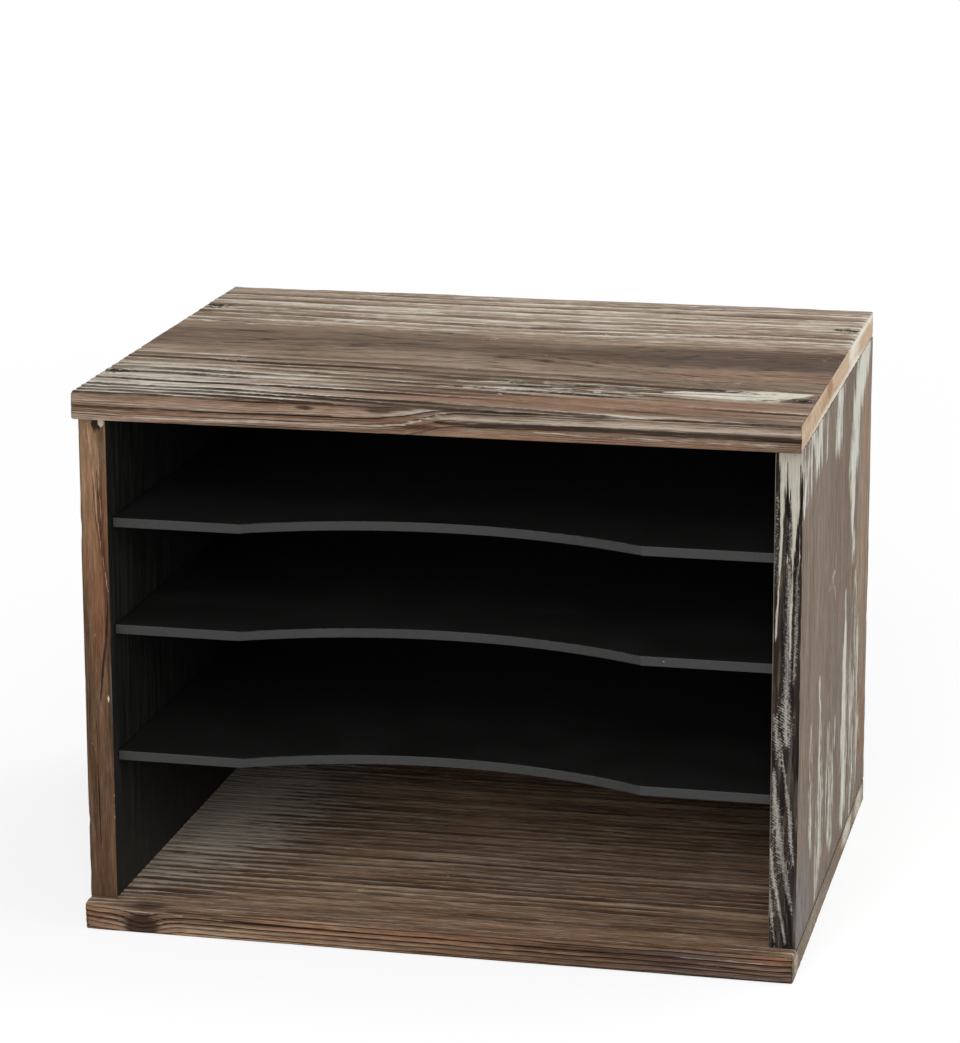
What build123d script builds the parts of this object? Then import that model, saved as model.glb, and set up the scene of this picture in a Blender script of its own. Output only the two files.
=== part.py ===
from build123d import *
import os

# A desktop letter holder: a nailed box of torched softwood boards with a thin
# black back, and three black shelves that lie loose on pins and pull out forward.
# Sizes are in mm. X runs across the front, Y to the back and Z up. The origin is
# on the resting face, under the middle of the bottom board.

# Outer box
overall_width = 360.0
overall_depth = 284.0
board_thickness = 14.0
side_thickness = 14.0
side_setback = 10.5
board_edge_round = 1.2
side_edge_round = 0.8

# Clear height of each compartment, from the bottom one up
bottom_clear = 71.0
lower_clear = 61.0
upper_clear = 50.0
top_clear = 53.0

# Back panel, let into a rabbet round the rear of the box
back_thickness = 4.0
back_recess = 1.5
rabbet_width = 7.0
back_edge_clearance = 0.5

# Shelves, each with a shallow arc cut out of its front edge
shelf_thickness = 5.0
shelf_setback = 6.5
shelf_side_clearance = 0.75
shelf_back_clearance = 1.0
scoop_chord = 202.0
scoop_depth = 22.5
shelf_edge_round = 0.5

# Shelf pins, four under each shelf
pin_diameter = 5.0
pin_reach = 6.0
pin_cover = 5.5
pin_end_clearance = 0.5
pin_end_round = 0.6
pin_inset = 40.0
pin_seat_gap = 0.3

# Nails that hold the top and bottom boards to the sides, driven below the surface
nail_length = 38.0
nail_shank_diameter = 1.8
nail_head_diameter = 3.0
nail_head_height = 1.0
nail_sink = 0.8
nail_front_inset = 52.0
nail_back_inset = 56.0
nail_tip_clearance = 0.3

# Nails that hold the back panel, with their heads on its rear face
back_nail_length = 16.0
back_nail_shank_diameter = 1.4
back_nail_head_diameter = 3.6
back_nail_head_height = 0.8
back_nail_inset = 32.0
back_nails_per_edge = 3

# Radial room round every nail and pin in its hole
hole_clearance = 0.05

# Places worked out from the sizes above
half_width = overall_width / 2
half_depth = overall_depth / 2
inner_half_width = half_width - side_thickness
clear_heights = (bottom_clear, lower_clear, upper_clear, top_clear)
shelf_count = len(clear_heights) - 1
side_height = sum(clear_heights) + shelf_count * shelf_thickness
overall_height = side_height + 2 * board_thickness
top_underside = overall_height - board_thickness

side_front = -half_depth + side_setback
back_rear = half_depth - back_recess
back_front = back_rear - back_thickness
rabbet_depth = back_thickness + back_recess
nail_line = inner_half_width + side_thickness / 2
nail_places = [
    (x, y)
    for x in (-nail_line, nail_line)
    for y in (-half_depth + nail_front_inset, half_depth - nail_back_inset)
]

shelf_half_width = inner_half_width - shelf_side_clearance
shelf_front = side_front + shelf_setback
shelf_back = back_front - shelf_back_clearance
lower_shelf_underside = board_thickness + bottom_clear
middle_shelf_underside = lower_shelf_underside + shelf_thickness + lower_clear
upper_shelf_underside = middle_shelf_underside + shelf_thickness + upper_clear
shelf_undersides = {
    "lower": lower_shelf_underside,
    "middle": middle_shelf_underside,
    "upper": upper_shelf_underside,
}

pin_radius = pin_diameter / 2
pin_embed = side_thickness - pin_cover - pin_end_clearance
pin_ys = (shelf_front + pin_inset, shelf_back - pin_inset)

# The back panel's nails follow the middle of the rabbet on all four edges
back_nail_x = inner_half_width + rabbet_width / 2
back_nail_z_low = board_thickness - rabbet_width / 2
back_nail_z_high = top_underside + rabbet_width / 2


def spread(low, high, count):
    """Evenly spaced values from low to high."""
    if count == 1:
        return [(low + high) / 2]
    return [low + (high - low) * i / (count - 1) for i in range(count)]


side_nail_zs = spread(
    board_thickness + back_nail_inset, top_underside - back_nail_inset, back_nails_per_edge
)
row_nail_xs = spread(
    -inner_half_width + back_nail_inset, inner_half_width - back_nail_inset, back_nails_per_edge
)
back_nail_places = [(x, z) for x in (-back_nail_x, back_nail_x) for z in side_nail_zs]
back_nail_places += [(x, z) for x in row_nail_xs for z in (back_nail_z_low, back_nail_z_high)]

# The back panel's rear face, looking the way its nails are driven
back_drive = Plane(origin=(0, back_rear, 0), x_dir=(1, 0, 0), z_dir=(0, -1, 0))

shank_hole_radius = nail_shank_diameter / 2 + hole_clearance
head_hole_radius = nail_head_diameter / 2 + hole_clearance
back_hole_radius = back_nail_shank_diameter / 2 + hole_clearance
pin_hole_radius = pin_radius + hole_clearance
nail_in_side = nail_length - (board_thickness - nail_sink)


def cut_nail_holes(surface_z, into):
    """Sunk nail holes through a board from its outer face, driven towards into (+1 up, -1 down)."""
    face = Plane(origin=(0, 0, surface_z), x_dir=(1, 0, 0), z_dir=(0, 0, into))
    for radius, depth in (
        (shank_hole_radius, board_thickness),
        (head_hole_radius, nail_sink + nail_head_height),
    ):
        with BuildSketch(face) as spots:
            with Locations(*[(x, y * into) for x, y in nail_places]):
                Circle(radius)
        extrude(spots.sketch, amount=depth, mode=Mode.SUBTRACT)


def cut_back_nail_holes():
    """Holes for the back panel's nails, as deep as the nails reach."""
    with BuildSketch(back_drive) as spots:
        with Locations(*back_nail_places):
            Circle(back_hole_radius)
    extrude(spots.sketch, amount=back_nail_length + nail_tip_clearance, mode=Mode.SUBTRACT)


def cut_rabbet():
    """The recess round the rear of the box that takes the back panel."""
    with BuildSketch(Plane.XZ.offset(-half_depth)) as opening:
        with Locations((0, overall_height / 2)):
            Rectangle(2 * (inner_half_width + rabbet_width), side_height + 2 * rabbet_width)
    extrude(opening.sketch, amount=rabbet_depth, mode=Mode.SUBTRACT)


def nail(length, shank_diameter, head_diameter, head_height):
    """A nail in the current builder, its head at the plane and its point along the normal."""
    Cylinder(head_diameter / 2, head_height, align=(Align.CENTER, Align.CENTER, Align.MIN))
    Cylinder(shank_diameter / 2, length, align=(Align.CENTER, Align.CENTER, Align.MIN))


os.makedirs("parts", exist_ok=True)

# Top and bottom boards, which run over the ends of the sides
for name, low_z, surface_z, into in (
    ("bottom_board", 0.0, 0.0, 1),
    ("top_board", top_underside, overall_height, -1),
):
    with BuildPart() as board:
        with BuildSketch(Plane.XY.offset(low_z)):
            Rectangle(overall_width, overall_depth)
        extrude(amount=board_thickness)
        fillet(board.edges(), radius=board_edge_round)
        cut_rabbet()
        cut_nail_holes(surface_z, into)
        cut_back_nail_holes()
    board.part.label = name
    export_step(board.part, f"parts/{name}.step")

# Sides, set back from the boards' front edges, with blind holes for the shelf pins
for name, hand in (("left_side", -1), ("right_side", 1)):
    inner_face = Plane(origin=(hand * inner_half_width, 0, 0), x_dir=(0, 1, 0), z_dir=(hand, 0, 0))
    with BuildPart() as side:
        with BuildSketch(Plane.XY.offset(board_thickness)):
            with Locations((hand * nail_line, (side_front + half_depth) / 2)):
                Rectangle(side_thickness, half_depth - side_front)
        extrude(amount=side_height)
        fillet(side.edges().filter_by(Axis.Z), radius=side_edge_round)
        cut_rabbet()
        with BuildSketch(inner_face):
            with Locations(*[(y, hand * (z - pin_seat_gap - pin_radius))
                             for y in pin_ys for z in shelf_undersides.values()]):
                Circle(pin_hole_radius)
        extrude(amount=pin_embed + pin_end_clearance, mode=Mode.SUBTRACT)
        for end_z, into in ((board_thickness, 1), (top_underside, -1)):
            end_face = Plane(origin=(0, 0, end_z), x_dir=(1, 0, 0), z_dir=(0, 0, into))
            with BuildSketch(end_face):
                with Locations(*[(x, y * into) for x, y in nail_places if x * hand > 0]):
                    Circle(shank_hole_radius)
            extrude(amount=nail_in_side + nail_tip_clearance, mode=Mode.SUBTRACT)
        cut_back_nail_holes()
    side.part.label = name
    export_step(side.part, f"parts/{name}.step")

# Back panel of thin board, inside the rabbet
with BuildPart() as back_panel:
    with BuildSketch(Plane.XZ.offset(-back_rear)):
        with Locations((0, overall_height / 2)):
            Rectangle(
                2 * (inner_half_width + rabbet_width - back_edge_clearance),
                side_height + 2 * (rabbet_width - back_edge_clearance),
            )
    extrude(amount=back_thickness)
    cut_back_nail_holes()
back_panel.part.label = "back_panel"
export_step(back_panel.part, "parts/back_panel.step")

# Shelves and the pins under them
for level, underside in shelf_undersides.items():
    with BuildPart() as shelf:
        with BuildSketch(Plane.XY.offset(underside)):
            with BuildLine():
                Polyline(
                    (scoop_chord / 2, shelf_front),
                    (shelf_half_width, shelf_front),
                    (shelf_half_width, shelf_back),
                    (-shelf_half_width, shelf_back),
                    (-shelf_half_width, shelf_front),
                    (-scoop_chord / 2, shelf_front),
                )
                ThreePointArc(
                    (-scoop_chord / 2, shelf_front),
                    (0, shelf_front + scoop_depth),
                    (scoop_chord / 2, shelf_front),
                )
            make_face()
        extrude(amount=shelf_thickness)
        front_edges = shelf.edges().filter_by_position(
            Axis.Y, shelf_front - shelf_edge_round, shelf_front + scoop_depth + shelf_edge_round
        )
        fillet(front_edges.filter_by(Axis.Z, reverse=True), radius=shelf_edge_round)
    shelf.part.label = f"{level}_shelf"
    export_step(shelf.part, f"parts/{level}_shelf.step")

    pin_z = underside - pin_seat_gap - pin_radius
    with BuildPart() as pins:
        for hand in (-1, 1):
            free_end = hand * (inner_half_width - pin_reach)
            with BuildSketch(Plane(origin=(free_end, 0, pin_z), x_dir=(0, 1, 0), z_dir=(hand, 0, 0))):
                with Locations(*[(y, 0) for y in pin_ys]):
                    Circle(pin_radius)
            extrude(amount=pin_reach + pin_embed)
        fillet(pins.edges().filter_by(GeomType.CIRCLE), radius=pin_end_round)
    pins.part.label = f"{level}_shelf_pins"
    export_step(pins.part, f"parts/{level}_shelf_pins.step")

# Nails through the top and bottom boards into the sides
for name, head_z, into in (
    ("bottom_nails", nail_sink, 1),
    ("top_nails", overall_height - nail_sink, -1),
):
    head_plane = Plane(origin=(0, 0, head_z), x_dir=(1, 0, 0), z_dir=(0, 0, into))
    with BuildPart(head_plane) as nails:
        with Locations(*[(x, y * into) for x, y in nail_places]):
            nail(nail_length, nail_shank_diameter, nail_head_diameter, nail_head_height)
    nails.part.label = name
    export_step(nails.part, f"parts/{name}.step")

# Nails round the back panel
head_top = back_drive.offset(-back_nail_head_height)
with BuildPart(head_top) as back_nails:
    with Locations(*back_nail_places):
        nail(
            back_nail_length + back_nail_head_height,
            back_nail_shank_diameter,
            back_nail_head_diameter,
            back_nail_head_height,
        )
back_nails.part.label = "back_nails"
export_step(back_nails.part, "parts/back_nails.step")
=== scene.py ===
import math
from dataclasses import dataclass, field

import bmesh
import bpy
import numpy as np
from mathutils import Matrix, Vector


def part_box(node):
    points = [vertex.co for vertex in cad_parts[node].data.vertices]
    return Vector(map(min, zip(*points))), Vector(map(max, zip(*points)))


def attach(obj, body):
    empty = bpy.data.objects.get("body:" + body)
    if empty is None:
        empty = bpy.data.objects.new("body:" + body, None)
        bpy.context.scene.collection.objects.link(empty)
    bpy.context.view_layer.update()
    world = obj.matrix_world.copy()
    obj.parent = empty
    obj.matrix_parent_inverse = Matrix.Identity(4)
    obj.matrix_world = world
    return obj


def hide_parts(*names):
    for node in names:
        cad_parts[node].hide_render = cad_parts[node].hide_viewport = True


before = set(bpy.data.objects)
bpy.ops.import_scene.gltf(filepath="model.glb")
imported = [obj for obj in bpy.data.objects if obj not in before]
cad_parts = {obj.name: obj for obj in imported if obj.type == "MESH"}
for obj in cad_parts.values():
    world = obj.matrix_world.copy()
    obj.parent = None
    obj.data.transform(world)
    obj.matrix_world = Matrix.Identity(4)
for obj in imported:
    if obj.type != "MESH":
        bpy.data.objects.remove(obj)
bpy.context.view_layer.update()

# A letter holder of torched, brushed and washed fir with black shelves. Metres in
# Blender; the boards' growth, relief and marks are worked out in millimetres.
MM = 0.001
EVERYWHERE = math.inf


def corners_mm(node):
    """Lowest and highest corner of a CAD node in millimetres."""
    low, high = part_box(node)
    return np.array(low) / MM, np.array(high) / MM


panel_low, panel_high = corners_mm("back_panel")
top_low, top_high = corners_mm("top_board")
foot_low, foot_high = corners_mm("bottom_board")
left_low, left_high = corners_mm("left_side")
right_low, right_high = corners_mm("right_side")

# Faces that carry marks: the top, the underside, the deck of the foot, the front edges of the
# boards, the front edges of the sides (their stiles) and the two outer faces
TOP = top_high[2]
FOOT = foot_low[2]
DECK = foot_high[2]
FRONT = top_low[1]
STILE = right_low[1]
RIGHT = right_high[0]
LEFT = left_low[0]


def colour(hex_text):
    """An sRGB hex colour as linear RGBA."""
    parts = [int(hex_text[i : i + 2], 16) / 255 for i in (0, 2, 4)]
    return [c / 12.92 if c < 0.04045 else ((c + 0.055) / 1.055) ** 2.4 for c in parts] + [1.0]


def add(tree, kind, sockets=None, out=0, stops=None, **settings):
    """Adds a node and returns one of its outputs. A socket given as input is linked, a value is set.

    Of a MapRange, sockets 1 and 2 are the old range, and 3 and 4 the new one. Of a Mix, socket 0 is
    the share, and 6 and 7 are the two colours.
    """
    node = tree.nodes.new("ShaderNode" + kind)
    for name, value in settings.items():
        setattr(node, name, value)
    for key, value in (sockets or {}).items():
        if isinstance(value, bpy.types.NodeSocket):
            tree.links.new(value, node.inputs[key])
        else:
            node.inputs[key].default_value = value
    if stops:
        ramp = node.color_ramp.elements
        while len(ramp) < len(stops):
            ramp.new(0.5)
        for element, (place, shade) in zip(ramp, stops):
            element.position = place
            element.color = colour(shade) if isinstance(shade, str) else (shade, shade, shade, 1.0)
    return node.outputs[out] if node.outputs else None


def new_tree(name):
    """A bare material and its node tree."""
    material = bpy.data.materials.new(name)
    material.use_nodes = True
    material.node_tree.nodes.clear()
    return material, material.node_tree


# Growth and relief of the boards


def hashed(i, j, k, seed):
    """A steady number from 0 to 1 for each whole-number place."""
    n = (i * 73856093) ^ (j * 19349663) ^ (k * 83492791) ^ (seed * 26544357)
    n = ((n ^ (n >> 13)) * 1274126177) & 0x7FFFFFFF
    return ((n ^ (n >> 15)) & 0xFFFFF) / 0xFFFFF


def noise(points, size, seed):
    """Smooth noise from -1 to 1, with lumps as long as size along x, y and z."""
    place = points / np.array(size, float)
    cell = np.floor(place).astype(np.int64)
    t = place - cell
    t = t * t * (3 - 2 * t)
    lumps = np.zeros(len(points))
    for corner in np.ndindex(2, 2, 2):
        weight = np.prod(np.where(corner, t, 1 - t), axis=1)
        lumps += weight * hashed(*(cell + corner).T, seed)
    return 2 * lumps - 1


def ease(x, low, high):
    """0 below low, 1 above high and smooth between."""
    t = np.clip((x - low) / (high - low), 0, 1)
    return t * t * (3 - 2 * t)


# Beyond its edge a stroke falls off at least this steeply, so that a faint one doesn't spread
OUTER_SLOPE = 0.9
# Length over which the tree's centre wanders
PITH_DRIFT = 170
# Number of the ring on the front edge's line, and how deep the front edge's own rings go
FRONT_RING = 20
FRONT_SKIN = 0.6
# Places closer than this are the same, and a direction this near to an axis is parallel to it
SAME_PLACE = 0.01
PARALLEL = 0.999


def on(axis, place, *points):
    """A stroke's points on a flat face, each given as its two places in the face and its half width."""
    return [(*point[:axis], place, *point[axis:]) for point in points]


@dataclass
class Board:
    """A sawn board: how the tree grew in it, how it was worn, and the marks that it carries.

    grain and through are the axes along its grain and through its thickness. pith is the tree's
    centre in Y and through. It wanders along the grain, and each lean gives an axis, a turn along the
    grain, the way past it and the slope there. growth gives the rings' width out to each radius. On the
    front edge they may follow a line of known height instead. relief is about the depth of a groove, and
    calm faces, each an axis and a sign, keep little of it. nail_face is the height of the nailed face,
    arrises are the axes of the rounded edges, and front_cuts divides the front edge more finely.
    A spot is a kind, a centre, its reach along each axis and an amount. A stroke is a kind, a strength
    and a path with its half width at each point.
    """

    name: str
    grain: int
    through: int
    pith: tuple
    growth: list
    relief: float
    seed: int
    calm: tuple
    nail_face: float = 0.0
    lean: tuple = ()
    wander: float = 5.0
    rounding: float = 1.2
    front_cuts: int = 1
    front_line: tuple = ()
    front_spacing: float = 3.0
    arrises: tuple = (0, 1, 2)
    spots: list = field(default_factory=list)
    strokes: list = field(default_factory=list)

    def along(self, length, width):
        """A size for noise: length along the grain and width across it."""
        return [length if axis == self.grain else width for axis in range(3)]

    def spot(self, kind, points, power=2):
        """Sum of the soft spots of one kind. A higher power gives them a flatter middle."""
        amounts = np.zeros(len(points))
        for what, centre, reach, amount in self.spots:
            if what == kind:
                away = (points - np.array(centre)) / np.array(reach, float)
                amounts += amount * np.exp(-((away**2).sum(axis=1) ** power))
        return amounts

    def stroke(self, kind, points):
        """How far inside a stroke of one kind a point is: its strength on the line, and 0 at the edge."""
        inside = np.full(len(points), -1.0)
        for what, strength, path in self.strokes:
            if what != kind:
                continue
            for (*start, wide), (*end, wide_end) in zip(path, path[1:]):
                span = np.subtract(end, start)
                t = np.clip((points - start) @ span / (span @ span), 0, 1)
                gap = np.linalg.norm(points - start - t[:, None] * span, axis=1)
                depth = 1 - gap / (wide + t * (wide_end - wide))
                slope = np.where(depth > 0, strength, max(strength, OUTER_SLOPE))
                inside = np.maximum(inside, slope * depth)
        return inside

    def rings(self, points):
        """Annual rings counted out from the tree's centre. Spots, such as those at knots, push them aside."""
        drift = self.along(PITH_DRIFT, EVERYWHERE)
        across = points[:, 1] - self.pith[0] - self.wander * noise(points, drift, self.seed)
        deep = points[:, self.through] - self.pith[1] - self.wander * noise(points, drift, self.seed + 1)
        for axis, turn, toward, slope in self.lean:
            past = slope * np.maximum(toward * (points[:, self.grain] - turn), 0)
            if axis == 1:
                across = across - past
            else:
                deep = deep - past
        radii = [0.0]
        grown = [0.0]
        for reach, width in self.growth:
            grown.append(grown[-1] + (reach - radii[-1]) / width)
            radii.append(reach)
        rings = np.interp(np.hypot(across, deep), radii, grown)
        if self.front_line:
            # On the front edge the rings run level, counted down from one line of known height
            places, heights = zip(*self.front_line)
            below = np.interp(points[:, 0], places, heights) - points[:, 2]
            level = FRONT_RING + below / self.front_spacing
            rings = np.where(points[:, 1] < FRONT + FRONT_SKIN, level, rings)
        rings += self.spot("rings", points, 1)
        for size, weight in ((150, 34), 0.35), ((48, 7), 0.2), ((17, 3), 0.09):
            rings += weight * noise(points, self.along(*size), self.seed + size[0])
        return rings


def runs_along(edge, axis):
    """Whether an edge is parallel to an axis."""
    span = edge.verts[1].co - edge.verts[0].co
    return abs(span[axis]) > PARALLEL * span.length


def cut_rabbet(bm, low, rabbet):
    """Cuts a step along the edge of a block that starts at low and is already split at the step's planes."""
    near, far, run = rabbet
    inside = [f for f in bm.faces if all(near[a] < f.calc_center_median()[a] < far[a] for a in range(3))]
    bmesh.ops.delete(bm, geom=inside, context="FACES")
    rims = [e for e in bm.edges if e.is_boundary and runs_along(e, run)]
    made = bmesh.ops.extrude_edge_only(bm, edges=rims)["geom"]
    for vert in (g for g in made if isinstance(g, bmesh.types.BMVert)):
        for axis in {0, 1, 2} - {run}:
            # Of the step's two planes, the one inside the block is its wall
            vert.co[axis] = near[axis] if near[axis] > low[axis] else far[axis]
    bmesh.ops.remove_doubles(bm, verts=bm.verts[:], dist=1e-4)
    bmesh.ops.holes_fill(bm, edges=[e for e in bm.edges if e.is_boundary], sides=0)


def board_block(board, steps, rabbet, plain):
    """The board as a finely divided block in millimetres, with rounded arrises and its rabbet."""
    low, high = corners_mm(board.name)
    bm = bmesh.new()
    shape = Matrix.Translation((low + high) / 2) @ Matrix.Diagonal([*(high - low), 1])
    bmesh.ops.create_cube(bm, size=1, matrix=shape)
    edges = [e for e in bm.edges if any(runs_along(e, axis) for axis in board.arrises)]
    bmesh.ops.bevel(bm, geom=edges, offset=board.rounding, offset_type="OFFSET", segments=3, profile=0.5,
                    affect="EDGES", material=-1)
    for axis in range(3):
        for place in (rabbet[0][axis], rabbet[1][axis]):
            if low[axis] < place < high[axis]:
                normal = Vector([float(a == axis) for a in range(3)])
                bmesh.ops.bisect_plane(bm, geom=bm.verts[:] + bm.edges[:] + bm.faces[:], dist=1e-5,
                                       plane_co=normal * place, plane_no=normal)
    cut_rabbet(bm, low, rabbet)

    # Even strips along each axis, finer ones up the front edge, and hidden flat faces left whole
    for axis in range(3):
        groups = {}
        for edge in bm.edges:
            if runs_along(edge, axis) and edge.calc_length() > 1.5 * steps[axis]:
                groups.setdefault(round(edge.calc_length() / steps[axis]), []).append(edge)
        for count, edges in groups.items():
            bmesh.ops.subdivide_edges(bm, edges=edges, cuts=count - 1)
    thin_edges = [e for e in bm.edges if runs_along(e, board.through)
                  and all(abs(v.co.y - low[1]) < SAME_PLACE for v in e.verts)]
    bmesh.ops.subdivide_edges(bm, edges=thin_edges, cuts=board.front_cuts)
    for axis, place, reach in plain:
        flat = [f for f in bm.faces if abs(f.calc_center_median()[axis] - place) < SAME_PLACE
                and abs(f.normal[axis]) > PARALLEL and abs(f.calc_center_median()[0]) < reach]
        bmesh.ops.dissolve_faces(bm, faces=flat)
    return bm, low, high


# Round each nail the faces are finer, with a pit over the sunk head and a lens of torn grain
NAIL_ROOM = 5.0
PIT_RADIUS = 2.0
PIT_DEPTH = 1.3
TORN_LENGTH = 9.0
TORN_WIDTH = 5.0
TORN_DEPTH = 0.25
FACE_SKIN = 0.5

# A face looks to a side if its normal is at least this much that side's
FACING = 0.75

# Height of a brushed ring, in parts of the relief: soft early wood worn away, then the hard ridge,
# then a steep drop
RING_PLACES = [0.0, 0.10, 0.35, 0.62, 0.84, 0.93, 1.0]
RING_HEIGHTS = [-1.0, -0.92, -0.40, -0.15, 0.0, 0.0, -1.0]


def nailed_block(board, steps, rabbet, plain, nails):
    """The board's block, divided more finely round its nails."""
    bm, low, high = board_block(board, steps, rabbet, plain)
    near = set()
    for face in bm.faces:
        middle = face.calc_center_median()
        close = any(math.dist(middle[:2], nail) < NAIL_ROOM for nail in nails)
        if close and abs(middle.z - board.nail_face) < FACE_SKIN:
            near.update(face.edges)
    bmesh.ops.subdivide_edges(bm, edges=list(near), cuts=3, use_grid_fill=True)
    return bm, low, high


def give_materials(mesh, materials):
    """Gives faces the material of the side that they look to, and the first one elsewhere."""
    normals = np.zeros(len(mesh.polygons) * 3)
    mesh.polygons.foreach_get("normal", normals)
    slots = np.zeros(len(mesh.polygons), int)
    for number, (material, facing) in enumerate(materials):
        mesh.materials.append(material)
        if facing is not None:
            slots[normals.reshape(-1, 3) @ np.array(facing) > FACING] = number
    mesh.polygons.foreach_set("material_index", slots)


def nail_marks(board, p, nails):
    """How far each point is inside a nail's pit, and inside the torn grain round it."""
    on_face = np.abs(p[:, 2] - board.nail_face) < FACE_SKIN
    torn = np.full(len(p), -1.0)
    pit = np.zeros(len(p))
    for x, y in nails:
        span = np.hypot(p[:, 0] - x, p[:, 1] - y)
        pit = np.maximum(pit, np.where(on_face, 1 - ease(span, PIT_RADIUS, PIT_RADIUS + 0.5), 0))
        lens = np.hypot((p[:, 0] - x) / TORN_LENGTH, (p[:, 1] - y) / TORN_WIDTH)
        torn = np.maximum(torn, np.where(on_face, 1 - lens, -1))
    return pit, torn


def brushed(board, p, rings, groove, arris):
    """Height of the brushed surface above the sawn one, from the rings down to chips, dents and strokes."""
    chips = ease(noise(p, board.along(9, 3), board.seed + 5), 0.3, 0.7) * (1 - ease(arris, 0.3, 2.0))
    ridge = np.interp(rings - np.floor(rings), RING_PLACES, RING_HEIGHTS)
    height = board.relief * groove * (0.25 + ridge)
    height += 0.08 * np.cos(6 * math.pi * rings) * groove
    height += 0.12 * noise(p, board.along(60, 14), board.seed + 6)
    height += 0.10 * noise(p, board.along(14, 2.2), board.seed + 7)
    height -= 0.45 * chips + board.spot("dent", p)
    for kind, depth in ("split", 0.5), ("line", 0.3), ("pale_line_and_highlight", -0.15):
        height -= depth * np.clip(board.stroke(kind, p), 0, 1)
    return height


def dress_board(board, steps, rabbet, materials, plain=(), nails=()):
    """Builds a board's mesh, wears its surface down to its rings and stores its growth for the materials."""
    bm, low, high = nailed_block(board, steps, rabbet, plain, nails)
    mesh = bpy.data.meshes.new(board.name + "_wood")
    bm.to_mesh(mesh)
    bm.free()
    give_materials(mesh, materials)

    p = np.zeros(len(mesh.vertices) * 3)
    mesh.vertices.foreach_get("co", p)
    p = p.reshape(-1, 3)
    outward = p - np.clip(p, low + board.rounding, high - board.rounding)
    length = np.linalg.norm(outward, axis=1)
    outward /= np.maximum(length, 1e-6)[:, None]

    # Each ring has a groove of its own depth, which fades along the grain
    rings = board.rings(p)
    number = np.floor(rings).astype(np.int64)
    here, after = (hashed(n, 0, 0, board.seed) for n in (number, number + 1))
    groove = 0.3 + 0.85 * (here + (after - here) * ease(rings - number, 0.3, 0.7))
    groove *= 0.9 + 0.45 * noise(p, board.along(75, 12), board.seed + 4)
    groove = np.clip(groove + board.spot("groove", p), 0.05, 1.3)
    arris = np.sort(np.minimum(p - low, high - p), axis=1)[:, 1]

    # Brushing bites less on end grain, hardly on calm faces, and not in the rabbet
    height = brushed(board, p, rings, groove, arris)
    height *= 1 - 0.75 * np.abs(outward[:, board.grain])
    for axis, sign in board.calm:
        still = ease(sign * outward[:, axis], 0.6, 0.9)
        height = np.where(still > 0.5, np.minimum(height, 0), height) * (1 - 0.92 * still)
    in_rabbet = np.all((p > rabbet[0] - SAME_PLACE) & (p < rabbet[1] + SAME_PLACE), axis=1)
    height[in_rabbet | (length < 0.5 * board.rounding)] = 0
    pit, torn = nail_marks(board, p, nails)
    height = height * (1 - pit) - PIT_DEPTH * pit - TORN_DEPTH * np.clip(torn, 0, 1) * (1 - pit)
    worn_down = (p + outward * height[:, None]) * MM
    mesh.vertices.foreach_set("co", worn_down.astype(np.float32).ravel())

    stored = {"rings": rings, "groove": groove, "worn": 1 - ease(arris, 0.2, 1.5), "torn": torn, "pit": pit}
    for kind in ("tone", "warm", "wash", "haze", "char_and_shade", "knot", "saw"):
        stored[kind] = board.spot(kind, p)
    for kind in ("paint", "smear", "line", "pale_line_and_highlight", "split", "chip"):
        stored[kind] = board.stroke(kind, p)
    for name, values in stored.items():
        mesh.attributes.new(name, "FLOAT", "POINT").data.foreach_set("value", values.astype(np.float32))
    mesh.shade_smooth()
    mesh.set_sharp_from_angle(angle=math.radians(60))
    piece = bpy.data.objects.new(board.name + "_wood", mesh)
    bpy.context.scene.collection.objects.link(piece)
    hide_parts(board.name)
    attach(piece, "box")


# Materials


# Axis of the grain, how much wider streaks are on a broad face than on an edge, and how much longer.
# Those of the right side are drawn coarser, because real ones would be too fine to tell apart at its slant
ALONG_X = (0, 2.2, 1.0)
ALONG_Z = (2, 2.2, 1.0)
ALONG_Z_COARSE = (2, 3.4, 2.2)
ALONG_Y = (1, 1.0, 1.0)

# Colours that all the torched faces share
STRAW = "857858"
ASH = "77736d"
GREY_HAZE = "7b7877"
KNOT_BROWN = "35261f"
GREY_SMEAR = "86827c"
SAW_MARK = "aca89e"
TORN_FIBRE = "cfc8b6"
FRESH_CHIP = "cdc3ac"
RUBBED_ARRIS = "c4b298"
PALE_FLECK = "c9bfac"
# Painted shade in the nail pits
NAIL_PIT_SHADE = "15110f"


def drawn(tree, grain, along, across, detail=3.0, roughness=0.6, shift=0.0):
    """Noise drawn out along the grain, with lumps of the given length and width in millimetres."""
    place = add(tree, "TexCoord", out="Object")
    axis, broad, stretch = grain
    size = [across, across * broad, across]
    size[axis] = along * stretch
    scale = [1 / (MM * length) for length in size]
    moved = add(tree, "Mapping", {"Vector": place, "Scale": scale, "Location": (shift, shift, shift)})
    return add(tree, "TexNoise", {"Vector": moved, "Scale": 1.0, "Detail": detail, "Roughness": roughness})


def total(tree, start, *parts):
    """A number plus each part times its weight."""
    for value, weight in parts:
        start = add(tree, "Math", {0: value, 1: weight, 2: start}, operation="MULTIPLY_ADD")
    return start


def coat(tree, base, top, level, low, high, most=1.0):
    """Lays a colour over another where a level rises from low to high. Returns the colour and the cover."""
    cover = add(tree, "MapRange", {0: level, 1: low, 2: high, 4: most}, interpolation_type="SMOOTHSTEP")
    laid = add(tree, "Mix", {0: cover, 6: base, 7: colour(top) if isinstance(top, str) else top}, out=2,
               data_type="RGBA")
    return laid, cover


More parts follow.
